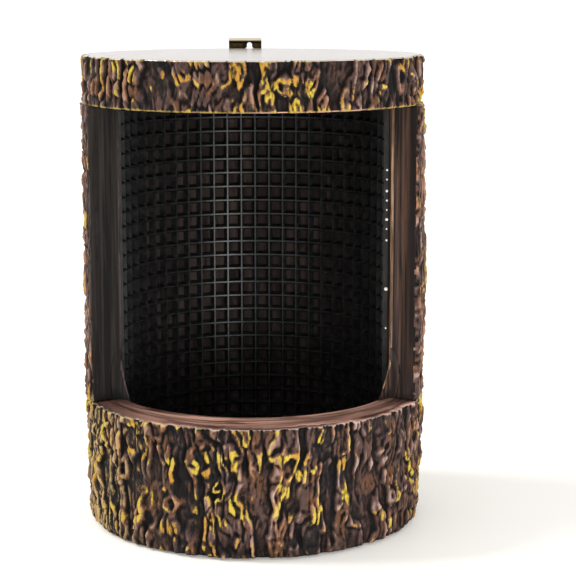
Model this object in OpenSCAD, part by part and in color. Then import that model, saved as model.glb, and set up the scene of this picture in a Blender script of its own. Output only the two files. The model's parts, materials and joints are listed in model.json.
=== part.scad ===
// Log-shaped insect hotel: a bark-faced drum and back wall around a bore that is lined
// with a square climbing lattice, open at the front, with a lift-off lid and a hanger
// plate. Millimetres. The log's axis is Z, the table is z = 0 and the window faces -Y.

/* [Log] */
// Outside diameter over the bark
log_d = 180; // [160:2:200]
// Bore of the log, behind the lattice
bore_d = 152.5; // [140:0.5:154]
// Overall height of the log, lid included
log_h = 251; // [220:1:300]
// Height of the sill, the top of the base drum
sill_z = 69; // [50:1:90]
// Distance of the window's cut plane in front of the axis
cut_y = 32; // [20:1:45]
// Rise of the sill from its bark edge to its inner edge, which sheds the rain
sill_rise = 2.5; // [0:0.5:5]
// Width of the bevel on the left cheek's inner edge
bevel_left = 1; // [0.5:0.5:5]
// Width of the bevel on the right cheek's inner edge
bevel_right = 3; // [0.5:0.5:5]
// Rise of the curved gusset in each lower window corner
gusset_h = 22; // [10:1:30]
// Reach of the gusset along the sill
gusset_l = 15; // [6:1:20]
// Radial width of the gusset
gusset_w = 6; // [3:0.5:9]

/* [Lid] */
// Height of the lid's bark rim
lid_h = 25.3; // [18:0.1:35]
// Thickness of the lid's top plate
lid_top_t = 7; // [5:0.5:10]
// Diameter of the locating pegs
peg_d = 5; // [4:0.5:6]
// Diametral play of a peg in the lid
peg_play = 0.6; // [0.2:0.1:1]

/* [Floor] */
// Thickness of the floor plate
floor_t = 5; // [3:0.5:8]
// Height of the foot pads
pad_h = 3; // [2:0.5:4]
// Diameter of a foot pad
pad_d = 18; // [12:1:24]
// Diameter of a drain hole
drain_d = 3.5; // [2:0.5:3.5]

/* [Lattice] */
// Spacing of the strands, centre to centre
mesh_pitch = 8; // [6:0.5:12]
// Width of a strand at its root
strand_root = 3.2; // [2:0.1:4]
// Width of a strand at its crest
strand_crest = 0.8; // [0.6:0.1:1.5]
// Depth of the net, from the wall to the crests
strand_t = 3.6; // [2:0.1:5]
// Turn of the lattice round the bore, which sets where its uprights fall
net_turn = 0.8; // [-3:0.1:3]

/* [Hanger] */
// Width of the hanger plate
plate_w = 19; // [16:1:26]
// Sideways offset of the hanger plate from the middle of the back
plate_x = -4.5; // [-12:0.5:12]
// Sideways offset of the keyhole from the middle of the plate
key_x = 2.5; // [-4:0.5:4]
// Thickness of the hanger plate
plate_t = 2; // [1.5:0.5:3]
// Height of the plate's rolled top edge above the lid
plate_rise = 5.8; // [4:0.1:10]
// Gap between the lid and the plate, for the wall screw's head
head_gap = 6; // [5:0.5:8]

/* [Hidden] */
$fn = 96;

log_r = log_d / 2;
bore_r = bore_d / 2;
wall_mid_r = (log_r + bore_r) / 2;
eps = 0.01;
slip = 0.05;                     // radial room around a pin, insert or screw
over = 1;                        // how far a cutting tool runs past a face

drum_z = 1;                      // underside of the bark, just off the table
lid_gap = 0.3;
wall_top_z = log_h - lid_h - lid_gap;
edge_round = 2;                  // chamfer round the foot of the drum

// the cheek's inner edge, where the window's cut plane meets the bore
cheek_x = sqrt(bore_r * bore_r - cut_y * cut_y);
cheek_angle = atan2(cheek_x, -cut_y);

// the gusset's curve: upright at its top, and its radius takes it gusset_l along the sill
gusset_sweep = gusset_l / bore_r * 180 / PI;
gusset_curve = (gusset_h * gusset_h + gusset_l * gusset_l) / (2 * gusset_l);

// floor plate in its rebate
floor_z = pad_h;
ledge_z = floor_z + floor_t;
rebate_r = bore_r + 7.5;
floor_r = rebate_r - 0.3;
floor_screw_r = bore_r + 3.5;
floor_screw_at = [45, 135, 225, 315];
floor_shank_r = 1.45;
floor_insert_r = 2.3;
floor_insert_l = 8;
floor_head_r = 3;
floor_head_h = 2;
pad_ring_r = 56;
drain_ring_r = 36;
drain_count = 8;

// dowels between drum and wall, and pegs under the lid
dowel_r = 3;
dowel_l = 20;
dowel_at = [-100, -38, 38, 100];
peg_at = [-78, 78, 180 - 145];
peg_sunk = 8;
peg_proud = 6.5;

// lattice: one moulded net, whose uprights and hoops cross at the same depth
net_back = bore_r - 0.3;
net_front = net_back - strand_t;
upright_step = mesh_pitch / net_front * 180 / PI;
upright_side = floor((cheek_angle - 4) / upright_step);
liner_z0 = ledge_z + 0.35;
hoop_count = floor((wall_top_z - liner_z0 - 1) / mesh_pitch);
liner_h = hoop_count * mesh_pitch;

// beads of glue where the lattice meets the right cheek: [height, radius]
beads = [[108, 0.5], [129, 1], [155, 0.6], [161, 0.5], [166, 0.8], [171, 0.5],
         [176, 0.6], [181, 0.7], [187, 0.5], [192, 0.6]];

// hanger
plate_y = log_r + head_gap;
plate_top_z = log_h + plate_rise;
roll_r = 1.6;
plate_bottom_z = wall_top_z - 38;
boss_w = plate_w + 6;
boss_top_z = wall_top_z - 3;
key_r = 4.2;
key_z = plate_top_z - 9.4;
slot_r = 1.5;
slot_z = key_z + 5.3;
hang_screw_z = [wall_top_z - 30, wall_top_z - 12];
hang_shank_r = 1.95;
hang_head_r = 3.9;
hang_insert_r = 2.8;
hang_insert_l = 10;

bark = "#4b3a31";
cut_wood = "#6d4c41";
black_plastic = "#1b1b1c";
brass = "#b08d3e";

// Places its children at angle a from +Y, on radius r.
module around(a, r) {
    rotate([0, 0, -a]) translate([0, r, 0]) children();
}

// Keeps what lies behind the window's cut plane, in plan.
module behind_cut() {
    translate([-log_d, -cut_y]) square([2 * log_d, 2 * log_d]);
}

// Plan of the back wall: a ring, cut off by the window, with bevelled cheeks.
module wall_plan() {
    difference() {
        intersection() {
            difference() {
                circle(r = log_r);
                circle(r = bore_r);
            }
            behind_cut();
        }
        bevel(-1, bevel_left);
        bevel(1, bevel_right);
    }
}

// A square set cornerwise on the inner edge of the cheek on side s.
module bevel(s, w) {
    translate([s * cheek_x, -cut_y]) rotate(45) square(w * sqrt(2), center = true);
}

// The cone under the sill and under the wall, run past both edges by d.
module sill_cone(d) {
    slope = (log_r - bore_r) / sill_rise;
    translate([0, 0, sill_z - d])
        cylinder(r1 = log_r + d * slope, r2 = bore_r - d * slope, h = sill_rise + 2 * d);
}

// A curved web on the sill that rounds off the window's lower right corner.
module gusset() {
    difference() {
        rotate([0, 0, 90 - cheek_angle - gusset_sweep]) translate([0, 0, sill_z])
            rotate_extrude(angle = gusset_sweep)
                translate([bore_r - 2, 0]) square([gusset_w + 2, sill_rise + gusset_h]);
        rotate([0, 0, -cheek_angle - gusset_curve / bore_r * 180 / PI])
            translate([0, bore_r - 6, sill_z + sill_rise + gusset_h]) rotate([-90, 0, 0])
                cylinder(r = gusset_curve, h = gusset_w + 12);
        translate([-log_d, -cut_y + 0.1, sill_z - 3]) cube([2 * log_d, log_d, log_h]);
    }
}

module base_drum() {
    color(bark) {
        difference() {
            union() {
                translate([0, 0, drum_z])
                    cylinder(r1 = log_r - edge_round, r2 = log_r, h = edge_round);
                translate([0, 0, drum_z + edge_round])
                    cylinder(r = log_r, h = sill_z - drum_z - edge_round);
                translate([0, 0, sill_z - eps])
                    cylinder(r1 = log_r, r2 = bore_r, h = sill_rise + eps);
                gusset();
                mirror([1, 0, 0]) gusset();
            }
            cylinder(r = bore_r, h = log_h);
            cylinder(r = rebate_r, h = ledge_z);
            for (a = floor_screw_at) around(a, floor_screw_r)
                translate([0, 0, ledge_z - over])
                    cylinder(r = floor_insert_r + slip, h = floor_insert_l + 2 * over, $fn = 32);
            for (a = dowel_at) around(a, wall_mid_r)
                translate([0, 0, sill_z - dowel_l / 2])
                    cylinder(r = dowel_r + slip, h = dowel_l, $fn = 32);
        }
    }
}

module back_wall() {
    color(bark) {
        difference() {
            union() {
                translate([0, 0, sill_z])
                    linear_extrude(height = wall_top_z - sill_z) wall_plan();
                translate([plate_x - boss_w / 2, bore_r + 3, plate_bottom_z - 2])
                    cube([boss_w, plate_y - bore_r - 3, boss_top_z - plate_bottom_z + 2]);
            }
            sill_cone(0.5);
            for (a = dowel_at) around(a, wall_mid_r)
                translate([0, 0, sill_z - over])
                    cylinder(r = dowel_r + slip, h = dowel_l / 2 + over, $fn = 32);
            for (a = peg_at) around(a, wall_mid_r)
                translate([0, 0, wall_top_z - peg_sunk - over])
                    cylinder(r = peg_d / 2 + slip, h = peg_sunk + 2 * over, $fn = 32);
            for (z = hang_screw_z)
                translate([plate_x, plate_y + over, z]) rotate([90, 0, 0])
                    cylinder(r = hang_insert_r + slip, h = hang_insert_l + 3 * over, $fn = 32);
        }
    }
}

module wall_dowels() {
    color("silver") for (a = dowel_at) around(a, wall_mid_r)
        translate([0, 0, sill_z - dowel_l / 2])
            cylinder(r = dowel_r, h = dowel_l, $fn = 32);
}

module floor_plate() {
    color(cut_wood) difference() {
        translate([0, 0, floor_z]) cylinder(r = floor_r, h = floor_t);
        for (a = floor_screw_at) around(a, floor_screw_r)
            cylinder(r = floor_shank_r + 0.25, h = ledge_z + over, $fn = 32);
        for (i = [0 : drain_count - 1]) around(i * 360 / drain_count, drain_ring_r)
            cylinder(r = drain_d / 2, h = ledge_z + over, $fn = 24);
    }
}

module floor_inserts() {
    color(brass) for (a = floor_screw_at) around(a, floor_screw_r)
        translate([0, 0, ledge_z]) difference() {
            cylinder(r = floor_insert_r, h = floor_insert_l, $fn = 32);
            translate([0, 0, -over])
                cylinder(r = floor_shank_r + slip, h = floor_insert_l + 2 * over, $fn = 32);
        }
}

module floor_screws() {
    color("silver") for (a = floor_screw_at) around(a, floor_screw_r)
        difference() {
            union() {
                translate([0, 0, floor_z - floor_head_h])
                    cylinder(r = floor_head_r, h = floor_head_h, $fn = 32);
                translate([0, 0, floor_z - eps])
                    cylinder(r = floor_shank_r, h = floor_t + floor_insert_l, $fn = 32);
            }
            cross_recess(floor_z - floor_head_h, floor_head_r);
        }
}

// A cross recess that opens downwards at height z.
module cross_recess(z, r) {
    for (a = [0, 90]) rotate([0, 0, a])
        translate([-r * 0.6, -r * 0.14, z - over]) cube([r * 1.2, r * 0.28, over + 0.9]);
}

module foot_pads() {
    color("#2b2b2b") {
        cylinder(d = pad_d, h = pad_h, $fn = 48);
        for (a = [0 : 90 : 270]) around(a, pad_ring_r) cylinder(d = pad_d, h = pad_h, $fn = 48);
    }
}

// One strand's section, root on the X axis and crest at height t.
module strand(t) {
    polygon([[-strand_root / 2, 0], [strand_root / 2, 0],
             [strand_crest / 2, t], [-strand_crest / 2, t]]);
}

module liner_uprights() {
    color(black_plastic) for (i = [-upright_side : upright_side])
        around(i * upright_step + net_turn, net_back) translate([0, 0, liner_z0])
            linear_extrude(height = liner_h) rotate(180) strand(strand_t);
}

module liner_hoops() {
    span = 2 * upright_side * upright_step;
    color(black_plastic) for (i = [0 : hoop_count - 1])
        translate([0, 0, liner_z0 + (i + 0.5) * mesh_pitch])
            rotate([0, 0, 90 - net_turn - span / 2])
                rotate_extrude(angle = span)
                    translate([net_back, 0]) rotate(90) strand(strand_t);
}

module glue_beads() {
    color("white") for (b = beads)
        around(cheek_angle - 2.6, bore_r - 0.9) translate([0, 0, b[0]])
            sphere(r = b[1], $fn = 24);
}

module hanger_plate() {
    color("#4a3b28") translate([plate_x, 0, 0]) difference() {
        union() {
            translate([-plate_w / 2, plate_y, plate_bottom_z])
                cube([plate_w, plate_t, plate_top_z - roll_r - plate_bottom_z]);
            translate([-plate_w / 2, plate_y + plate_t - roll_r, plate_top_z - roll_r])
                rotate([0, 90, 0]) cylinder(r = roll_r, h = plate_w, $fn = 48);
        }
        keyhole_cut();
        for (z = hang_screw_z) translate([0, plate_y, z]) rotate([-90, 0, 0]) {
            translate([0, 0, -over]) cylinder(r = hang_shank_r + 0.2, h = plate_t + 2 * over, $fn = 32);
            cylinder(r1 = hang_shank_r + 0.2, r2 = hang_head_r + 0.1, h = plate_t + eps, $fn = 32);
        }
    }
}

// The keyhole: a round hole for the screw's head, with a narrow slot above it.
module keyhole_cut() {
    translate([key_x, plate_y + plate_t + over, 0]) rotate([90, 0, 0]) {
        depth = plate_t + 2 * over;
        translate([0, key_z, 0]) cylinder(r = key_r, h = depth, $fn = 48);
        translate([0, slot_z, 0]) cylinder(r = slot_r, h = depth, $fn = 32);
        translate([-slot_r, key_z, 0]) cube([2 * slot_r, slot_z - key_z, depth]);
    }
}

module hanger_inserts() {
    color(brass) for (z = hang_screw_z)
        translate([plate_x, plate_y, z]) rotate([90, 0, 0]) difference() {
            cylinder(r = hang_insert_r, h = hang_insert_l, $fn = 32);
            translate([0, 0, -over])
                cylinder(r = hang_shank_r + slip, h = hang_insert_l + 2 * over, $fn = 32);
        }
}

module hanger_screws() {
    color("silver") for (z = hang_screw_z)
        translate([plate_x, plate_y + plate_t, z]) rotate([90, 0, 0]) difference() {
            union() {
                cylinder(r1 = hang_head_r, r2 = hang_shank_r, h = plate_t, $fn = 32);
                translate([0, 0, plate_t - eps])
                    cylinder(r = hang_shank_r, h = hang_insert_l, $fn = 32);
            }
            cross_recess(0, hang_head_r);
        }
}

module lid_pegs() {
    color("silver") for (a = peg_at) around(a, wall_mid_r)
        translate([0, 0, wall_top_z - peg_sunk])
            cylinder(d = peg_d, h = peg_sunk + peg_proud, $fn = 32);
}

module lid_cap() {
    color(bark) translate([0, 0, log_h - lid_h]) difference() {
        cylinder(r = log_r, h = lid_h);
        translate([0, 0, -over]) cylinder(r = bore_r, h = lid_h - lid_top_t + over);
        for (a = peg_at) around(a, wall_mid_r) translate([0, 0, -over])
            cylinder(d = peg_d + peg_play, h = peg_proud + 2 * over, $fn = 32);
    }
}

base_drum();
back_wall();
wall_dowels();
floor_plate();
floor_inserts();
floor_screws();
foot_pads();
liner_uprights();
liner_hoops();
glue_beads();
hanger_plate();
hanger_inserts();
hanger_screws();
lid_pegs();
lid_cap();
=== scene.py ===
# %% [markdown]
# # A log-shaped insect hotel
# The hotel is a hollow log cast in resin: a bark-faced drum with a sill, a bark-faced wall
# behind the window, and a slice of log for a lid. A black net lines the bore so that the
# guests can climb. The sizes come from the engineering model, which this script loads first
# and never changes. Blender adds what that model leaves plain: the sculpted bark, the grain
# of the cut wood, the paint, the light and the camera.

# %% Load the engineering model
import json
from itertools import product
from math import atan2, cos, hypot, pi, radians, sin, sqrt

import bmesh
import bpy
import numpy as np
from mathutils import Matrix, Vector


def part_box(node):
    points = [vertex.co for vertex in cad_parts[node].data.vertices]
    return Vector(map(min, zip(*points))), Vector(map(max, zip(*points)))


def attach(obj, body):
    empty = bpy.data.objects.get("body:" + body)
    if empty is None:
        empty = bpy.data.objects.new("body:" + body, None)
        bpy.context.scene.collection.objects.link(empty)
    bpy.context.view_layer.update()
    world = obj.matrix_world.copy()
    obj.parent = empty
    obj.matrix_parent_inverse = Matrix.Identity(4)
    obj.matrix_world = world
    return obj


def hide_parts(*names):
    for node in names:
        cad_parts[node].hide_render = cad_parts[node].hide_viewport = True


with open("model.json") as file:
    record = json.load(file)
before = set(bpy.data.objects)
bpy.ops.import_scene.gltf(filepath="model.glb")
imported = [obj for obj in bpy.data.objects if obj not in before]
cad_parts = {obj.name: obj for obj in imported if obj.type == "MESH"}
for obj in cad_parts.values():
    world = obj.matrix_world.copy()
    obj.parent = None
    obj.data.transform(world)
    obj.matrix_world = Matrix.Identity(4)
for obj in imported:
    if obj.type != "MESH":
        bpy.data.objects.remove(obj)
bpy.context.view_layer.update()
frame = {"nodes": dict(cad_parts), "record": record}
mm = 0.001

# %% [markdown]
# The new pieces must land on the engineering model to a fraction of a millimetre, so their
# main sizes are measured from its nodes. A node's box gives heights and outer sizes, and the
# lid gives the log's radius and the bore's, as the greatest and least distance of its points
# from the axis. Only the sill's two heights, at its outer and its inner edge, are typed in.

# %% Measure the log
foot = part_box("base_drum")[0].z
wall_low, wall_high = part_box("back_wall")
lid_low, lid_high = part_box("lid_cap")
plate_low, plate_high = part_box("hanger_plate")
lid_points = frame["nodes"]["lid_cap"].data.vertices
log_r = max(hypot(v.co.x, v.co.y) for v in lid_points)
bore_r = min(hypot(v.co.x, v.co.y) for v in lid_points if v.co.z <= lid_low.z + mm)
rebate_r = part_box("floor_plate")[1].x + 0.3 * mm
ledge_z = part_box("floor_plate")[1].z
sill_z = 69 * mm
sill_inner_z = 71.5 * mm
cut_y = wall_low.y
print(f"log radius {log_r/mm:.1f} mm, bore {bore_r/mm:.1f}, window cut at y {cut_y/mm:.1f}")

# %% [markdown]
# ## How bark is drawn
# Bark repeats no pattern, but it has a direction: everything in it is drawn out along the
# log. Each layer below is a random field on the unrolled log, whose first coordinate is the
# turn round the axis, from 0 to 1, and the second the height. A field has a whole number of
# cells round the log, so the last cell meets the first and no seam shows. Every random
# number comes from one seeded table, so the bark is the same on every run.

# %% A smooth random field on the unrolled log
dice = np.random.default_rng(20)
shuffle = dice.permutation(256)
slopes = dice.uniform(0, 2 * pi, 256)
spots = dice.uniform(0.1, 0.9, (256, 3))


def die(column, row, columns, seed):
    """A fixed random number from 0 to 255 for each cell of a field."""
    return shuffle[(shuffle[(shuffle[(column % columns) & 255] + row) & 255] + seed) & 255]


def ripple(turn, z, columns, height, seed):
    """Smooth random hills between -1 and 1, with so many cells round and one each height."""
    x, y = turn * columns, z / height
    column, row = np.floor(x).astype(int), np.floor(y).astype(int)
    fx, fy = x - column, y - row
    wx, wy = (f * f * f * (f * (f * 6 - 15) + 10) for f in (fx, fy))
    total = np.zeros_like(x)
    for i, j in product((0, 1), repeat=2):
        slope = slopes[die(column + i, row + j, columns, seed)]
        weight = (wx if i else 1 - wx) * (wy if j else 1 - wy)
        total += weight * (np.cos(slope) * (fx - i) + np.sin(slope) * (fy - j))
    return total * 1.5


# %% [markdown]
# Dry bark also cracks into cells. Each cell of a field gets one point at a random place, and
# every sample belongs to its nearest point. Where the nearest and the second nearest are
# equally far there is a crack, and each cell's own random number sets how high it stands.

# %% Cracked cells
def crackle(turn, z, columns, height, seed):
    """How far each sample is from the nearest crack, in cells, and its cell's random number."""
    x, y = turn * columns, z / height
    column, row = np.floor(x).astype(int), np.floor(y).astype(int)
    first, second, chosen = np.full_like(x, 9), np.full_like(x, 9), np.zeros_like(x)
    for i, j in product((-1, 0, 1), repeat=2):
        number = die(column + i, row + j, columns, seed)
        away = np.hypot(column + i + spots[number, 0] - x, row + j + spots[number, 1] - y)
        closer = away < first
        second = np.where(closer, first, np.minimum(second, away))
        chosen = np.where(closer, spots[number, 2], chosen)
        first = np.where(closer, away, first)
    return second - first, chosen


# %% [markdown]
# Most shapes below are cut from such hills with one helper, which climbs smoothly from 0 to
# 1 as a value passes between two limits. Near zero a field makes long closed loops, so a
# narrow band about zero draws the curling crests that this bark is made of.

# %% A smooth climb
def ease(value, low, high):
    """0 below low, 1 above high, and a smooth climb between."""
    t = np.clip((value - low) / (high - low), 0, 1)
    return t * t * (3 - 2 * t)


# %% [markdown]
# The whole log's bark is drawn once, as heights in millimetres on an unrolled sheet with a
# sample each half millimetre, and every piece is then carved from that sheet. Working on a
# sheet lets a layer be compared with its own surroundings: what stands above the mean of the
# few millimetres about it is proud, and catches the dry brush; what lies below holds the wash
# and a painted shade.

# %% The unrolled sheet
cell = 0.5
girth = 2 * pi * log_r / mm             # the log's girth in millimetres
columns = round(girth / cell)
turn, z = np.meshgrid(np.arange(columns) / columns, np.arange(0, lid_high.z / mm + 2, cell))


def average(field, wide, tall):
    """Each sample's mean over a box that reaches so many millimetres each way."""
    for axis, half in ((1, round(wide / cell)), (0, round(tall / cell))):
        field = sum(np.roll(field, k, axis) for k in range(-half, half + 1)) / (2 * half + 1)
    return field


def sample(field, turn, z):
    """A field's value at turns round and heights in mm, between its four nearest samples."""
    x, y = (turn % 1) * columns, np.clip(z / cell, 0, len(field) - 1.001)
    i, j = x.astype(int), y.astype(int)
    fx, fy = x - i, y - j
    return sum((fx if a else 1 - fx) * (fy if b else 1 - fy) * field[j + b, (i + a) % columns]
               for a, b in product((0, 1), repeat=2))


print(f"sheet of {columns} by {len(z)} samples for a girth of {girth:.0f} mm")

# %% [markdown]
# The layers are drawn from coarse to fine. Ridges stand between dark hollows that run up the
# log. They are cracked into scales, and the scales into chips. On the ridges lie worms,
# narrow curling crests with a groove along them, and nibs and grain roughen everything. All
# are bent by one slow sway, so they flow past each other the way wood fibres do.

# %% Draw the bark
sway = (5.5 * ripple(turn, z, 14, 66, 1) + 2.6 * ripple(turn, z, 46, 20, 2)
        + 1.3 * ripple(turn, z, 120, 9, 3))
t, h = turn + sway / girth, z + 4 * ripple(turn, z, 32, 24, 4)
ridge = ease(ripple(t, h, 66, 56, 5) + 0.3 * ripple(t, h, 130, 18, 6), -0.42, -0.1)
nib, grain = ripple(t, h, 236, 9, 11), ripple(t, h, 470, 4.5, 12)
gap, scale = crackle(t + nib / 900, h, 84, 21, 20)
scales = ease(gap, 0.03, 0.32) * scale
gap, chip = crackle(t + grain / 1200, h, 142, 10, 21)
chips = ease(gap, 0.02, 0.34) * chip
thread = np.abs(ripple(t, h, 92, 24, 8) + 0.35 * ripple(t, h, 190, 9, 9))
on_ridge = 0.25 + 0.75 * ridge
worm = ease(0.25 - thread, 0, 0.15) * ease(ripple(t, h, 70, 19, 10), -0.05, 0.15) * on_ridge
groove = np.exp(-(thread / 0.06) ** 2)
relief = (1.5 * ridge + (1.3 * scales + 1.5 * chips) * on_ridge + 0.4 * nib + 0.25 * grain
          + worm * (1.2 - 0.5 * groove))
print(f"bark relief {relief.min():.1f} to {relief.max():.1f} mm before the knots")

# %% [markdown]
# Knots are placed one by one: each has its degrees round from the front, its height, its half
# width, its half height and whether it curls in like a snail. Its lip pushes the plates aside.

# %% Set the knots
knots = [(-28, 27, 3.6, 5.4, 0), (-13, 38, 4.6, 6.4, 1), (10, 48, 3.4, 9, 0), (23, 20, 3, 6, 0),
         (-48, 40, 3, 7, 0), (98, 40, 5, 9, 1), (-95, 30, 5, 9, 0), (150, 36, 6, 11, 1),
         (-140, 120, 6, 12, 0), (120, 160, 7, 13, 1), (180, 95, 7, 12, 1), (72, 197, 5, 9, 1),
         (-100, 190, 6, 11, 0), (10, 239, 5, 5.5, 0), (60, 240, 4, 6, 0), (165, 238, 5, 6, 1)]
for degrees, height, wide, tall, curl in knots:
    across = ((t - degrees / 360 + 0.5) % 1 - 0.5) * girth / wide
    ring = np.hypot(across, (h - height) / tall) + 0.3 * nib + 0.4 * ripple(t, h, 90, 12, 22)
    wave = np.cos(2 * pi * (ring + curl * np.arctan2(h - height, across * tall) / (2 * pi)))
    lip = ease(wave if curl else 1 - 3 * np.abs(ring - 0.8), -0.4, 0.9) * ease(ring, 1.5, 1.0)
    relief = relief * ease(ring, 0.8, 1.6) + (1.3 * lip + nib + 1.2 * chip + 0.7) * ease(ring, 1.6, 1.0)
    worm = worm * ease(ring, 0.9, 1.6) + lip * 0.7
print(len(knots), "knots set")

# %% [markdown]
# Last come the masks for the paint. Proud and hollow compare the relief with its near and its
# wider surroundings. Gold is where a dry brush would leave yellow: on worms and proud chips, in
# patches, with less on the front's right and beside the window. Dry is the tan weathering at
# the drum's front left. A slow swell keeps the log from being a true cylinder: it is fuller on
# the right, and beside the window, where the bark also lies flatter against the sawn cheek.

# %% Masks for the paint
def about(at, width):
    """1 at a turn round the log, falling off on both sides over a width."""
    return np.exp(-((turn - at) / width) ** 2)


def about_both(at, width):
    """The same at that many turns to the left and to the right of the back."""
    return np.exp(-((np.abs(turn - 0.5) - at) / width) ** 2)


proud = relief - average(relief, 1.5, 2.5)
hollow = relief - average(relief, 4.5, 7)
above_sill = ease(z, 66, 74)
beside_window = above_sill * ease(z, 228, 224)
patch = ripple(turn, z, 38, 24, 14) + 0.8 * ripple(turn, z, 100, 11, 15)
patch += 0.26 * np.cos(6 * pi * (turn + 0.03)) - 0.06
patch -= 0.25 * about(0.12, 0.05)
patch -= 0.35 * about_both(0.27, 0.06) * beside_window
gold = ease(patch + 0.3 * worm + 0.6 * (chip - 0.5) + 0.35 * proud, 0.28, 0.62) * ease(hollow, -0.4, 0.4)
dry = about(0.82, 0.05) * ease(z, 76, 66)
by_cut = about_both(0.308, 0.02) * beside_window
swell = 0.9 * ripple(turn, z, 5, 110, 16) + 2.6 * about(0.24, 0.06) * np.exp(-((z - 125) / 60) ** 2)
swell += 0.6 * about(0.75, 0.05) * above_sill
swell += by_cut * np.where(turn < 0.5, 1.6, 1.0)
mean_relief = 2.2
sheets = {"relief": (relief - mean_relief) * (1 - 0.5 * by_cut), "dry": dry, "proud": proud,
          "hollow": hollow, "gold": gold, "worm": worm}
for name, field in sheets.items():
    print(f"{name}: {field.min():.1f} to {field.max():.1f}, mean {field.mean():.2f}")

# %% [markdown]
# ## From a flat sheet to a piece
# The bark needs a point about every two thirds of a millimetre. Spinning an outline that
# often is slow, so a bark piece starts as one flat grid instead. Rolling it up works like
# bending a sheet of clay round a bottle: across the grid is once round the log, and up the
# grid follows the outline of the piece. The two edges that meet are then merged.

# %% Outlines and rolling
def steps(*corners):
    """Points along (a, b, step) corners: the stretch up to each corner is cut to its step."""
    line = []
    for (a0, b0, _), (a1, b1, step) in zip(corners, corners[1:]):
        count = max(1, round(hypot(a1 - a0, b1 - b0) / step))
        line += [(a0 + (a1 - a0) * k / count, b0 + (b1 - b0) * k / count) for k in range(count)]
    return line + [corners[-1][:2]]


def sheet(across, up, place):
    """A grid of faces whose points go to place(column, row), with its meeting edges merged."""
    bm = bmesh.new()
    bmesh.ops.create_grid(bm, x_segments=across, y_segments=up, size=1)
    edge = [v for v in bm.verts if v.is_boundary]
    for v in bm.verts:
        v.co = place(round((v.co.x + 1) / 2 * across), round((v.co.y + 1) / 2 * up))
    bmesh.ops.remove_doubles(bm, verts=edge, dist=0.005 * mm)
    return bm


def rolled(line, turns):
    """A piece of revolution: the (radius, height) line carried round the Z axis."""
    angles = [(sin(2 * pi * k / turns), -cos(2 * pi * k / turns)) for k in range(turns + 1)]

    def place(column, row):
        (x, y), (r, z) = angles[column], line[row]
        return r * x, r * y, z
    bm = sheet(turns, len(line) - 1, place)
    bmesh.ops.recalc_face_normals(bm, faces=bm.faces)
    return bm


# %% [markdown]
# Every finished piece becomes an object at the origin, with its place in its mesh. It rides
# on a body of the engineering model and stands for one of its nodes.

# %% Turning a bmesh into a piece
def piece(bm, name, body, nodes):
    """Makes an object from a bmesh, joins it to the frame and returns it."""
    mesh = bpy.data.meshes.new(name)
    bm.to_mesh(mesh)
    bm.free()
    thing = bpy.data.objects.new(name, mesh)
    bpy.context.scene.collection.objects.link(thing)
    mesh.polygons.foreach_set("use_smooth", [True] * len(mesh.polygons))
    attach(thing, body)
    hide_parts(*nodes)
    return thing


def places(thing):
    """A piece's points as an array, with each one's turn from the front, radius and height."""
    flat = np.zeros(len(thing.data.vertices) * 3)
    thing.data.vertices.foreach_get("co", flat)
    co = flat.reshape(-1, 3)
    return co, np.arctan2(co[:, 0], -co[:, 1]) / (2 * pi), np.hypot(co[:, 0], co[:, 1]), co[:, 2]


def remember(thing, name, values, kind="FLOAT", field="value"):
    """Keeps a number or a place for each point, for the materials to read."""
    mark = thing.data.attributes.new(name, kind, "POINT")
    mark.data.foreach_set(field, np.ascontiguousarray(values, np.float32).ravel())


# %% [markdown]
# Carving moves each point of a bark face in or out by the relief. On the cut faces next to
# the bark the move fades out over a few millimetres, so that the edge of the wood follows
# the bark's outline, as it does on a sawn log. The piece also keeps how near each point is to
# a sawn edge, its place on the unrolled log for grain that follows the curve, and its place
# with its radius for the rings of growth.

# %% Carve the bark
def carve(thing, *edges, sunk=0.0):
    """Moves the bark's points by the relief, and keeps what the paint has to know."""
    co, turn, r, z = places(thing)
    marks = {name: sample(field, turn, z / mm) for name, field in sheets.items()}
    near = ease(r, log_r - 7 * mm, log_r - 0.5 * mm) * ease(r, log_r + 1.6 * mm, log_r + 0.8 * mm)
    edge = sum(np.exp(-((z - height) / (1.3 * mm)) ** 2) for height in edges) if edges else 0 * z
    marks["rim"] = edge * ease(r, log_r - 3 * mm, log_r - mm)
    flattened = marks["relief"] * (1 - 0.3 * np.clip(edge, 0, 1))
    move = (flattened + sample(swell, turn, z / mm) - sunk) * near
    remember(thing, "ringed", np.stack([co[:, 0], co[:, 1], r], 1), "FLOAT_VECTOR", "vector")
    remember(thing, "unrolled", np.stack([turn * 2 * pi * log_r, r, z], 1), "FLOAT_VECTOR", "vector")
    co[:, :2] *= (1 + move * mm / np.maximum(r, mm))[:, None]
    thing.data.vertices.foreach_set("co", co.ravel())
    for name, values in marks.items():
        remember(thing, name, values)
    thing.data.update()
    print(f"{thing.name}: {len(thing.data.polygons)} faces, moved {move.min():.1f} to {move.max():.1f} mm")


# %% [markdown]
# ## The drum
# The foot of the log is a ring with bark outside, a sill that falls outwards to shed rain,
# and a rebate below for the floor. Its lower edge is rounded. At each end of the window a
# small web, the gusset, rises from the sill to the cheek: its ridge climbs in a hollow curve
# to the corner of the bevel, and its face runs from the ridge out to lie flush on the cheek.
# A web could be a block with a rounded cut through it. Bending one grid round the web's
# section at every height gives the same shape with no seam, and it narrows as it climbs.

# %% Model a gusset
bevel_left, bevel_right = 1 * mm, 3 * mm
outer_x, lip_x = sqrt(log_r ** 2 - cut_y ** 2), sqrt(bore_r ** 2 - cut_y ** 2)
web_height, web_run, web_width = 27 * mm, 12.5 * mm, 11 * mm
web_base, web_tall = sill_z - mm, web_height + 3 * mm   # it starts a little below the sill
web_rows, face_columns, back_columns = 24, 10, 5
hollowness = 1.7                                        # of the ridge's curve; 1 is straight


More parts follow.
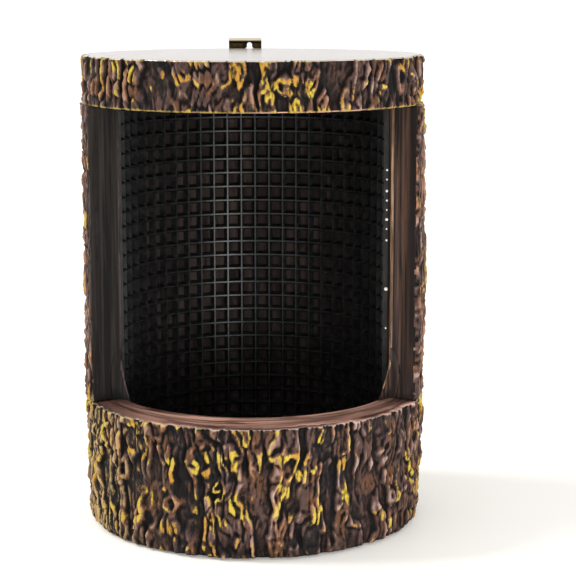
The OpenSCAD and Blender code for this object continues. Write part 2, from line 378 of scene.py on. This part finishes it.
def absorb(bm, other):
    """Adds another bmesh's faces to a bmesh, as a shell of its own."""
    carrier = bpy.data.meshes.new("carrier")
    other.to_mesh(carrier)
    other.free()
    bm.from_mesh(carrier)
    bpy.data.meshes.remove(carrier)


def cap(bm, middle):
    """Fills the open ends of an upright tube, one below and one above a middle height."""
    for top in (False, True):
        ring = [e for e in bm.edges if e.is_boundary and (e.verts[0].co.z > middle) == top]
        bmesh.ops.triangulate(bm, faces=bmesh.ops.edgeloop_fill(bm, edges=ring)["faces"])


def web_ridge(side, up):
    """Where the web's ridge stands, from the sill (up = 0) to the corner of the bevel (up = 1)."""
    below = (1 - up) ** hollowness
    angle = atan2(lip_x, -cut_y) - web_run / bore_r * below
    lean = (bevel_left if side < 0 else bevel_right) * (1 - below)
    return bore_r * sin(angle) + lean, -bore_r * cos(angle)


def gusset(side):
    """The web at the window's left (-1) or right (1) end, from its ridge out to the cheek."""
    flush = cut_y - 0.05 * mm
    corner_x = web_ridge(side, 1)[0] + 0.2 * mm

    def place(column, row):
        up = row / web_rows
        x, y = web_ridge(side, up)
        y = min(y, flush - 0.1 * mm)
        if column <= face_columns:
            end = min(x + web_width * (1 - up) ** 0.6 + 0.5 * mm, outer_x - 1.5 * mm)
            out = column / face_columns
            x, y = x + (end - x) * out, flush + (y - flush) * (1 - out) ** 2
        else:
            back = (column - face_columns - 1) / back_columns
            x, y = corner_x + (x - corner_x) * back, flush + (y - flush) * back
        return side * x, y, web_base + web_tall * up
    bm = sheet(face_columns + 1 + back_columns, web_rows, place)
    cap(bm, sill_z + web_height / 2)
    bmesh.ops.recalc_face_normals(bm, faces=bm.faces)
    return bm


print(f"a web {web_height/mm:.0f} mm high at each end of the window")

# %% [markdown]
# The drum's outline is a list of corners, each with the length of step that leads up to it:
# under a millimetre where the bark needs points, and long in the plain bore and rebate.

# %% Model the drum
turns_round = 840       # faces once round a bark piece
drum_line = steps((rebate_r, foot, 0), (log_r - 2.6 * mm, foot, 2 * mm),
                  (log_r - 1.6 * mm, foot + mm, mm), (log_r - 0.8 * mm, foot + 5 * mm, 0.8 * mm),
                  (log_r, foot + 18 * mm, 0.8 * mm), (log_r, sill_z - 0.4 * mm, 0.74 * mm),
                  (log_r - 0.5 * mm, sill_z + 0.1 * mm, 0.8 * mm), (bore_r, sill_inner_z, 1.1 * mm),
                  (bore_r, ledge_z, 12 * mm), (rebate_r, ledge_z, 8 * mm), (rebate_r, foot, 8 * mm))
drum_mesh = rolled(drum_line, turns_round)
for side in (-1, 1):
    absorb(drum_mesh, gusset(side))
drum = piece(drum_mesh, "bark_drum", "log", ["base_drum"])
carve(drum, sill_z)

# %% [markdown]
# ## The wall
# The wall's plan is a letter C: a long outer arc, a cheek at each side of the window, a
# narrow bevel and the bore. A grid is bent along that outline, and its two open ends, top
# and bottom, are filled. The foot is sloped to sit on the sill.

# %% Plan of the wall
def arc(radius, x0, x1, count):
    """Points round the back of the log, between two places on the window's cut."""
    start = atan2(-sqrt(radius ** 2 - x0 ** 2), x0)
    end = atan2(-sqrt(radius ** 2 - x1 ** 2), x1)
    sweep = (end - start) % (2 * pi) if x0 > 0 else (end - start) % (2 * pi) - 2 * pi
    angles = [start + sweep * k / count for k in range(count + 1)]
    return [(radius * cos(angle), radius * sin(angle)) for angle in angles]


right_x = sqrt(bore_r ** 2 - (cut_y + bevel_right) ** 2)
left_x = -sqrt(bore_r ** 2 - (cut_y + bevel_left) ** 2)
bark_steps, bore_steps = 416, 60
plan = arc(log_r, outer_x, -outer_x, bark_steps)[:-1]
plan += steps((-outer_x, cut_y, 0), (-lip_x - bevel_left, cut_y, 0.8 * mm),
              (left_x, cut_y + bevel_left, mm))[:-1]
plan += arc(bore_r, left_x, right_x, bore_steps)[:-1]
plan += steps((right_x, cut_y + bevel_right, 0), (lip_x + bevel_right, cut_y, mm),
              (outer_x, cut_y, 0.8 * mm))
print(len(plan), "points round the wall's plan")

# %% [markdown]
# The plan is raised row by row from the sloping sill to the lid. The hanger's boss, a bevelled
# block behind the wall that carries the plate's screws, is set into the bark.

# %% Raise the wall
wall_rows = 172


def wall_place(column, row):
    x, y = plan[column]
    inward = (log_r - hypot(x, y)) / (log_r - bore_r)
    seat = sill_z + (sill_inner_z - sill_z) * max(0, min(1, inward))
    return x, y, seat + (wall_high.z - seat) * row / wall_rows


bm = sheet(len(plan) - 1, wall_rows, wall_place)
cap(bm, wall_high.z - mm)
bmesh.ops.recalc_face_normals(bm, faces=bm.faces)
boss = bmesh.new()
bmesh.ops.create_cube(boss, size=1)
boss_low = Vector((plate_low.x - 3 * mm, bore_r + 3 * mm, plate_low.z - 2 * mm))
boss_high = Vector((plate_high.x + 3 * mm, plate_low.y - 0.05 * mm, wall_high.z - 3 * mm))
for v in boss.verts:
    v.co = [(high if c > 0 else low) for c, low, high in zip(v.co, boss_low, boss_high)]
bmesh.ops.bevel(boss, geom=boss.edges[:], offset=1.2 * mm, affect="EDGES", segments=3, profile=0.5,
                material=-1)
absorb(bm, boss)
wall = piece(bm, "bark_wall", "log", ["back_wall"])
carve(wall)

# %% [markdown]
# ## The lid
# The lid is a slice of the log: bark round its rim, rings on top, and hollow below. It is
# rolled and carved like the drum, a little less deep, because its rim is thinner and handled
# more. Its three peg holes aren't round the axis, so no outline can hold them: they are
# drilled with a Boolean, and after the carving, which would otherwise bend them.

# %% Model the lid
roof = lid_high.z
ceiling = roof - 7 * mm
lid_line = steps((0, roof, 0), (log_r - 0.8 * mm, roof, 2 * mm), (log_r, roof - 0.6 * mm, mm),
                 (log_r, lid_low.z + 0.6 * mm, 0.66 * mm), (log_r - 0.8 * mm, lid_low.z, mm),
                 (bore_r, lid_low.z, 2.4 * mm), (bore_r, ceiling, 9 * mm), (0, ceiling, 25 * mm))
lid = piece(rolled(lid_line, turns_round), "log_lid", "lid", ["lid_cap"])
carve(lid, lid_low.z, roof, sunk=1.1)

# %% Drill the peg holes
peg_turns, hole_r, hole_depth = (-78, 78, 35), 2.8 * mm, 7.5 * mm   # degrees round from the back
bm = bmesh.new()
for turned in peg_turns:
    spot = Matrix.Rotation(-radians(turned), 4, "Z") @ Vector((0, (log_r + bore_r) / 2, lid_low.z))
    bmesh.ops.create_cone(bm, cap_ends=True, segments=32, radius1=hole_r, radius2=hole_r,
                          depth=2 * hole_depth, matrix=Matrix.Translation(spot))
mesh = bpy.data.meshes.new("peg holes")
bm.to_mesh(mesh)
bm.free()
drill = bpy.data.objects.new("peg holes", mesh)
bpy.context.scene.collection.objects.link(drill)
cut = lid.modifiers.new("peg holes", "BOOLEAN")
cut.operation, cut.solver, cut.object = "DIFFERENCE", "EXACT", drill
bpy.context.view_layer.objects.active = lid
bpy.ops.object.modifier_apply(modifier=cut.name)
bpy.data.objects.remove(drill)
print(len(peg_turns), "peg holes drilled")

# %% [markdown]
# ## Writing finishes as sums
# A material is a small graph of nodes. Drawn by hand it takes many lines, so a Level wraps
# one output and behaves like a number: 1 - level or level * 0.5 adds the Math node that does
# it. A Finish owns the material, adds any other node, and links the results to the shader.

# %% The two classes that write materials
class Level:
    """A value that varies over a surface, written like a number."""

    def __init__(self, finish, socket):
        self.finish, self.socket = finish, socket

    def __add__(self, other):
        return self.finish.math("ADD", self, other)

    def __sub__(self, other):
        return self.finish.math("SUBTRACT", self, other)

    def __rsub__(self, other):
        return self.finish.math("SUBTRACT", other, self)

    def __mul__(self, other):
        return self.finish.math("MULTIPLY", self, other)

    __radd__, __rmul__ = __add__, __mul__


class Finish:
    """One material: its nodes, and the shader they feed."""

    def __init__(self, name, **fixed):
        self.material = bpy.data.materials.new(name)
        self.material.use_nodes = True
        self.tree = self.material.node_tree
        self.shader = self.tree.nodes["Principled BSDF"]
        for socket, value in fixed.items():
            self.shader.inputs[socket.replace("_", " ")].default_value = value

    def node(self, kind, settings={}, sockets={}, out=0):
        """Adds a node, sets it up, fills its sockets with values or links, returns one output."""
        made = self.tree.nodes.new("ShaderNode" + kind)
        for name, value in settings.items():
            setattr(made, name, value)
        for name, value in sockets.items():
            if isinstance(value, Level):
                self.tree.links.new(value.socket, made.inputs[name])
            else:
                made.inputs[name].default_value = value
        return Level(self, made.outputs[out])

    def math(self, operation, a, b):
        return self.node("Math", {"operation": operation}, {0: a, 1: b})

    def blend(self, amount, a, b):
        """A colour between a and b, both colours."""
        colours = {6: a if isinstance(a, Level) else (*a, 1), 7: b if isinstance(b, Level) else (*b, 1)}
        return self.node("Mix", {"data_type": "RGBA"}, {0: amount, **colours}, 2)

    def climb(self, value, low, high, to=1.0):
        """0 below low and `to` above high, with a smooth climb between."""
        limits = {0: value, 1: low, 2: high, 4: to}
        return self.node("MapRange", {"interpolation_type": "SMOOTHSTEP"}, limits)

    def mark(self, name):
        """A number that a piece keeps for each of its points."""
        return self.node("Attribute", {"attribute_name": name}, out="Fac")

    def along(self, axis):
        """The place along an axis of the log, in metres."""
        return self.node("SeparateXYZ", {}, {0: self.node("TexCoord", out="Object")}, "XYZ".index(axis))

    def speckle(self, scale, stretch=(1, 1, 1), detail=3.0, roughness=0.55, warp=0.0, on=None):
        """Noise with cells of 1/scale metres, drawn out along an axis by a stretch below 1."""
        if on:
            place = self.node("Attribute", {"attribute_name": on}, out="Vector")
        else:
            place = self.node("TexCoord", out="Object")
        place = self.node("Mapping", {}, {"Vector": place, "Scale": stretch})
        return self.node("TexNoise", {}, {"Vector": place, "Scale": scale, "Detail": detail,
                                          "Roughness": roughness, "Distortion": warp})

    def bump(self, height, distance, strength):
        return self.node("Bump", {}, {"Height": height, "Distance": distance, "Strength": strength})

    def feed(self, **links):
        for name, level in links.items():
            self.tree.links.new(level.socket, self.shader.inputs[name.replace("_", " ")])
        return self.material


print("ready to write finishes")

# %% [markdown]
# ## Bark paint
# Such castings are painted in layers: a nearly black wash that stays in the cracks, a mauve
# brown over it, a reddish brown on some plates, and a nearly dry brush of yellow that only
# touches the crests, in patches, like lichen. The black in the deepest hollows and the olive
# edges of the yellow are partly painted shade, the bark is painted darker near the table as
# painted shade, and the pale rims are partly a painted highlight. The relief kept on each
# point tells the paint how deep it lies.

# %% Mix the bark paint
def bark_paint():
    """The layers in a painter's order, from the wash and painted shade to the rims' paint and painted
    highlight.
    """
    f = Finish("bark paint", Coat_Roughness=0.22, Specular_IOR_Level=0.12)
    proud, hollow, gold, rim, dry = (f.mark(n) for n in ("proud", "hollow", "gold", "rim", "dry"))
    fine = f.speckle(800, (1, 1, 0.5), 4, 0.75)
    broad = f.speckle(40, (1, 1, 0.5), 3)
    patchy = f.speckle(85, (1, 1, 0.6), 3)
    streak = f.speckle(330, (1, 1, 0.22), 4, 0.65)
    x, z = f.along("X"), f.along("Z")
    # Foot is 1 over the lowest few millimetres and fades out by 14 mm; it darkens the bark and thins the
    # yellow there, a painted shade near the table.
    foot = f.climb(z, 14 * mm, 2 * mm)
    level = proud * 1.6 + (fine - 0.5) * 3 + (streak - 0.5) * 1.6
    height = level * 0.7 + hollow * 0.6 + (broad - 0.5) * 2.5 + (patchy - 0.5) * 2 - foot * 0.7
    ground = f.blend(f.climb(broad, 0.42, 0.58), (0.013, 0.01, 0.0105), (0.032, 0.017, 0.013))
    warm = f.blend(f.climb(patchy, 0.45, 0.6), (0.09, 0.052, 0.044), (0.115, 0.052, 0.028))
    pale = f.blend(f.climb(patchy, 0.45, 0.6), (0.36, 0.23, 0.19), (0.4, 0.2, 0.11))
    brown = f.blend(f.climb(height, -0.4, 0.6), ground, warm)
    brown = f.blend(f.climb(height, 0.6, 1.9, 0.9), brown, pale)
    brown = f.blend(dry * f.climb(level, 0, 1.0, 0.85), brown, (0.6, 0.41, 0.16))
    orange_or_lemon = f.climb(patchy + (streak - 0.5) * 0.5, 0.42, 0.54)
    yellow = f.blend(orange_or_lemon, (0.5, 0.25, 0.035), (0.58, 0.43, 0.05))
    # The yellow darkens to olive where it dips between crests: partly the paint's own tone, partly painted
    # shade.
    yellow = f.blend(f.climb(level, 0.75, -0.35, 0.95), yellow, (0.1, 0.07, 0.014))
    touch = gold + rim * 0.2 + (fine - 0.5) * 1.8 + (streak - 0.5) * 0.8 - foot * 0.3
    colour = f.blend(f.climb(touch, 0.3, 1.0), brown, yellow)
    # Near black in the deepest hollows: partly the real dark wash, partly painted shade.
    colour = f.blend(f.climb(level + hollow * 0.3, 0.05, -0.9), colour, (0.003, 0.0024, 0.0022))
    # Pale rims: pale pink from the middle of the sill to its right end is a painted highlight; the sill's
    # left end and the lid's rims are painted yellow and tan.
    edge_highlight_and_paint = f.blend(f.climb(x, -10 * mm, -45 * mm), (0.55, 0.42, 0.38), (0.55, 0.42, 0.12))
    edge_highlight_and_paint = f.blend(f.climb(z, sill_z + 10 * mm, lid_low.z), edge_highlight_and_paint, (0.42, 0.3, 0.07))
    colour = f.blend(f.climb(rim + hollow * 0.3 + (fine - 0.5) * 1.5, 0.5, 1.1, 0.85), colour, edge_highlight_and_paint)
    normal = f.bump(fine + streak, 0.7 * mm, 1.0)
    return f.feed(Base_Color=colour, Normal=normal, Roughness=0.58 - f.climb(level, 0.3, 1.4, 0.2),
                  Coat_Weight=f.climb(level, 0.8, 1.8, 0.6))


bark_finish = bark_paint()
for thing in (drum, wall, lid):
    thing.data.materials.append(bark_finish)
print("bark paint is on the drum, the wall and the lid")

# %% [markdown]
# ## Cut wood
# The sill, the cheeks and the lid's top are sawn faces, so their colour is streaks of grain.
# An image of wood would have to be bent to each face. Noise stretched along one direction
# does it with no image: along the curve on the sill, up the cheeks, and round the lid's
# growth rings. Painted shade darkens the cheeks where they meet the sill and the sill's left
# end, the corners carry pale painted highlights, and the lid top's pale tone is partly a
# painted reflection.

# %% Mix the cut wood
def cut_wood(name, scale, stretch, dark, light, on=None, coat=0.3, rough=0.34, shades=()):
    """Streaked wood; each shade of (axis, from, to) darkens it between two places on an axis."""
    f = Finish(name, Roughness=rough, Coat_Weight=coat, Coat_Roughness=0.2, Specular_IOR_Level=coat)
    streak = f.speckle(scale, stretch, 5, 0.6, 0.4, on)
    broad = f.speckle(scale * 0.3, stretch, 3, 0.5, 0.2, on)
    colour = f.blend(f.climb(streak, 0.36, 0.66), dark, light)
    colour = f.blend(f.climb(broad, 0.45, 0.66, 0.75), colour, dark)
    for axis, start, end in shades:
        ragged = f.along(axis) + (broad - 0.5) * 20 * mm
        colour = f.blend(f.climb(ragged, start * mm, end * mm, 0.8), colour, dark)
    return f.feed(Base_Color=colour, Normal=f.bump(streak + broad, 0.6 * mm, 0.8))


# The second of these darkens the cheeks just above the sill, a painted shade in the crease where they meet
# it.
upright, crease_shade = (1, 1, 0.03), ("Z", sill_z / mm + 6, sill_z / mm + 2)
# The sill wood darkens from 35 to 75 mm left of the axis, a painted shade at the sill's left end.
sill_wood = cut_wood("sill wood", 420, (0.05, 1, 1), (0.055, 0.025, 0.019), (0.66, 0.37, 0.28),
                     "unrolled", 0.35, 0.3, (("X", -35, -75),))
left_wood = cut_wood("left cheek wood", 420, upright, (0.006, 0.0055, 0.005), (0.026, 0.021, 0.018),
                     None, 0.06, 0.5, (crease_shade,))
right_wood = cut_wood("right cheek wood", 420, upright, (0.009, 0.0065, 0.006), (0.085, 0.045, 0.031),
                      None, 0.04, 0.5, (("X", 74, 86), crease_shade))
# The two edge woods are pale painted highlights along the corners of the bevels and the ridges of the
# gussets.
left_edge_highlight = cut_wood("left edge highlight", 420, (1, 1, 0.1), (0.03, 0.018, 0.016), (0.13, 0.085, 0.08),
                     None, 0.1, 0.5)
right_edge_highlight = cut_wood("right edge highlight", 420, (1, 1, 0.1), (0.09, 0.05, 0.03), (0.5, 0.32, 0.2),
                      None, 0.1, 0.5)
# The lid top's pale colour is partly the wood's and partly a painted reflection of the white room, seen at
# a grazing angle.
top_wood = cut_wood("top wood", 260, (0.12, 0.12, 1), (0.48, 0.39, 0.34), (0.66, 0.57, 0.51),
                    "ringed", 1.0, 0.2)
bore_wood = cut_wood("bore wood", 200, (1, 1, 0.2), (0.018, 0.014, 0.013), (0.05, 0.038, 0.034),
                     None, 0.0, 0.6)
print("seven woods mixed")

# %% [markdown]
# Each face takes its finish from where it lies and which way it looks. The rules are read in
# order and the last that fits wins, so a general rule comes first and its exceptions follow.

# %% Put the finishes on
def assign(thing, *rules):
    """Gives faces a material by rules of (material, test of centre and normal)."""
    for material, _ in rules:
        thing.data.materials.append(material)
    for face in thing.data.polygons:
        for number, (_, test) in enumerate(rules, 1):
            if test(face.center, face.normal):
                face.material_index = number


def inside(c, n):
    """The faces of the bore."""
    return hypot(c.x, c.y) < bore_r + 0.3 * mm


def sawn(c, n):
    """The level faces that lie hidden between the pieces, or under the log."""
    return abs(n.z) > 0.7 and hypot(c.x, c.y) < log_r - 1.5 * mm


def web(side):
    """The faces of a gusset that look outwards."""
    return lambda c, n: c.z > sill_z + 0.3 * mm and n.z < 0.3 and c.x * side > 0


def web_edge(side):
    """The strip of a gusset beside its ridge."""
    def test(c, n):
        ridge = web_ridge(side, min(1, (c.z - web_base) / web_tall))[0]
        beside = abs(c.x * side - ridge - 0.3 * mm) < 0.7 * mm
        return beside and c.z > sill_z + 0.3 * mm and -0.95 < n.y < -0.2
    return test


assign(drum, (bore_wood, sawn), (sill_wood, lambda c, n: c.z > sill_z - 0.2 * mm and n.z > 0.3),
       (left_wood, web(-1)), (right_wood, web(1)), (bore_wood, inside),
       (left_edge_highlight, web_edge(-1)), (right_edge_highlight, web_edge(1)))


def cheek(side):
    """The sawn face and the bevel at one side of the window."""
    def test(c, n):
        forward = c.y < cut_y + bevel_right and n.y < -0.3
        return forward and hypot(c.x, c.y) < log_r + mm and c.x * side > 0
    return test


def corner(side):
    """The faces beside the corner between a bevel and its cheek."""
    edge = lip_x + (bevel_left if side < 0 else bevel_right)
    return lambda c, n: c.y < cut_y + mm and -0.9 * mm < c.x * side - edge < 0.4 * mm


assign(wall, (sill_wood, sawn), (left_wood, cheek(-1)), (right_wood, cheek(1)), (bore_wood, inside),
       (left_edge_highlight, corner(-1)), (right_edge_highlight, corner(1)))
assign(lid, (sill_wood, sawn), (top_wood, lambda c, n: n.z > 0.7 and c.z > roof - 0.5 * mm),
       (bore_wood, lambda c, n: hypot(c.x, c.y) < bore_r + 0.3 * mm and c.z < roof - mm))
print("bark, sill, cheek, top and bore finishes are on")

# %% [markdown]
# ## Net, metal, rubber and glue
# These pieces are carried over from the engineering model as they are, and only get a finish:
# the net is extruded black plastic with a soft gloss, and the hanger is dark antiqued brass,
# with a pale painted highlight on its rolled top edge. Each finish is two close colours in a
# soft cloud, because one flat colour looks unreal even on plain plastic.

# %% Finishes for the carried nodes
def plain(name, dark, light, scale, bump, stretch=(1, 1, 1), **fixed):
    """A finish of two close colours, with a fine unevenness."""
    f = Finish(name, **fixed)
    cloud = f.speckle(scale, stretch, 4)
    colour = f.blend(f.climb(cloud, 0.35, 0.65), dark, light)
    return f.feed(Base_Color=colour, Normal=f.bump(cloud, bump * mm, 0.5))


def antiqued_brass():
    """Dark brass, with a pale painted highlight on the plate's rolled top edge."""
    f = Finish("antiqued brass", Metallic=1.0, Roughness=0.4)
    cloud = f.speckle(220, (1, 1, 1), 4)
    colour = f.blend(f.climb(cloud, 0.35, 0.65), (0.03, 0.02, 0.009), (0.085, 0.056, 0.025))
    # A pale painted highlight along the plate's rolled top edge.
    edge_highlight_and_paint = f.climb(f.along("Z"), plate_high.z - 2 * mm, plate_high.z - mm)
    colour = f.blend(edge_highlight_and_paint, colour, (0.85, 0.76, 0.6))
    return f.feed(Base_Color=colour, Normal=f.bump(cloud, 0.1 * mm, 0.5))


net_black = plain("net black", (0.009, 0.009, 0.0095), (0.024, 0.024, 0.024), 300, 0.2, Roughness=0.32,
                  Specular_IOR_Level=0.28)
floor_brown = plain("floor brown", (0.03, 0.022, 0.018), (0.06, 0.045, 0.037), 120, 0.3, Roughness=0.7)
glue_white = plain("glue white", (0.7, 0.66, 0.55), (0.85, 0.83, 0.78), 900, 0.2, Roughness=0.3)
brass_turned = plain("turned brass", (0.5, 0.36, 0.14), (0.7, 0.52, 0.22), 400, 0.1, (1, 1, 6),
                     Metallic=1.0, Roughness=0.35)
steel_zinc = plain("zinc plate", (0.4, 0.4, 0.41), (0.6, 0.6, 0.62), 500, 0.1, Metallic=1.0, Roughness=0.38)
rubber_black = plain("foot rubber", (0.015, 0.015, 0.015), (0.03, 0.03, 0.03), 700, 0.2, Roughness=0.8)
finishes = {"lattice_plastic": net_black, "floor_resin": floor_brown, "glue": glue_white,
            "hanger_brass": antiqued_brass(), "insert_brass": brass_turned, "screw_steel": steel_zinc,
            "foot_rubber": rubber_black}
for part in frame["record"]["subparts"]:
    node = frame["nodes"][part["node"]]
    if part["material_slot"] in finishes:
        node.data.materials.clear()
        node.data.materials.append(finishes[part["material_slot"]])
print("finished", len(finishes), "slots")

# %% [markdown]
# ## The stage
# The hotel stands on a white table in a white room. The table glows a little, so that it
# stays nearly white under the sky's soft light. The room looks brighter to the camera than
# the light it gives, which is what the Mix on Is Camera Ray does: the backdrop burns out to
# white while the log keeps its dark furrows.

# %% Floor and backdrop
bm = bmesh.new()
bmesh.ops.create_grid(bm, x_segments=1, y_segments=1, size=6)
mesh = bpy.data.meshes.new("table")
bm.to_mesh(mesh)
bm.free()
table = bpy.data.objects.new("table", mesh)
bpy.context.scene.collection.objects.link(table)
table_paint = Finish("table white", Roughness=0.6, Base_Color=(0.95, 0.93, 0.89, 1), Emission_Strength=0.2,
                     Emission_Color=(1, 0.97, 0.92, 1))
mesh.materials.append(table_paint.material)

world = bpy.data.worlds.new("white room")
world.use_nodes = True
nodes, links = world.node_tree.nodes, world.node_tree.links
backdrop, ray, strength = nodes["Background"], nodes.new("ShaderNodeLightPath"), nodes.new("ShaderNodeMix")
backdrop.inputs["Color"].default_value = (1, 1, 1, 1)
strength.inputs["A"].default_value, strength.inputs["B"].default_value = 0.85, 1.1
links.new(ray.outputs["Is Camera Ray"], strength.inputs["Factor"])
links.new(strength.outputs["Result"], backdrop.inputs["Strength"])
bpy.context.scene.world = world
print("table and white room are ready")

# %% [markdown]
# A wide sun from the left gives the soft shadow on the right and the glints along the ridges.
# A small weak softbox low at the front stands for light thrown up by the table: it picks out
# the net's strands, which would otherwise be black on black.

# %% Lights
def softbox(name, place, aim, size, power):
    """A square area light at a place, turned to its aim."""
    lamp = bpy.data.lights.new(name, "AREA")
    lamp.energy, lamp.size = power, size
    box = bpy.data.objects.new(name, lamp)
    bpy.context.scene.collection.objects.link(box)
    box.location = place
    box.rotation_euler = (Vector(aim) - Vector(place)).to_track_quat("-Z", "Y").to_euler()


def sunlight(name, place, strength, spread, colour):
    """Even light from a direction, with soft-edged shadows."""
    lamp = bpy.data.lights.new(name, "SUN")
    lamp.energy, lamp.angle, lamp.color = strength, spread, colour
    sun = bpy.data.objects.new(name, lamp)
    bpy.context.scene.collection.objects.link(sun)
    sun.rotation_euler = (-Vector(place)).to_track_quat("-Z", "Y").to_euler()


sunlight("window", (-1.0, 0.1, 0.75), 2.1, radians(18), (1, 0.98, 0.95))
softbox("table bounce", (0.2, -0.42, 0.02), (-0.06, 0.04, 0.14), 0.2, 1.7)

print("sun and softbox are lit")

# %% [markdown]
# The camera looks slightly down from the front, through a long lens that keeps the log's
# sides nearly parallel, and is rolled by a degree. The Standard view keeps white white.

# %% Camera
camera = bpy.data.cameras.new("camera")
camera.lens, camera.sensor_width = 108.7, 36            # in millimetres
tilt, roll = 0.171, 0.02                                # in radians
eye = bpy.data.objects.new("camera", camera)
bpy.context.scene.collection.objects.link(eye)
eye.location = (0, -0.9316, 0.2857)
eye.rotation_euler = (pi / 2 - tilt, 0, -roll)
bpy.context.scene.camera = eye
bpy.context.scene.view_settings.view_transform = "Standard"
print(f"camera {hypot(*eye.location):.2f} m away")
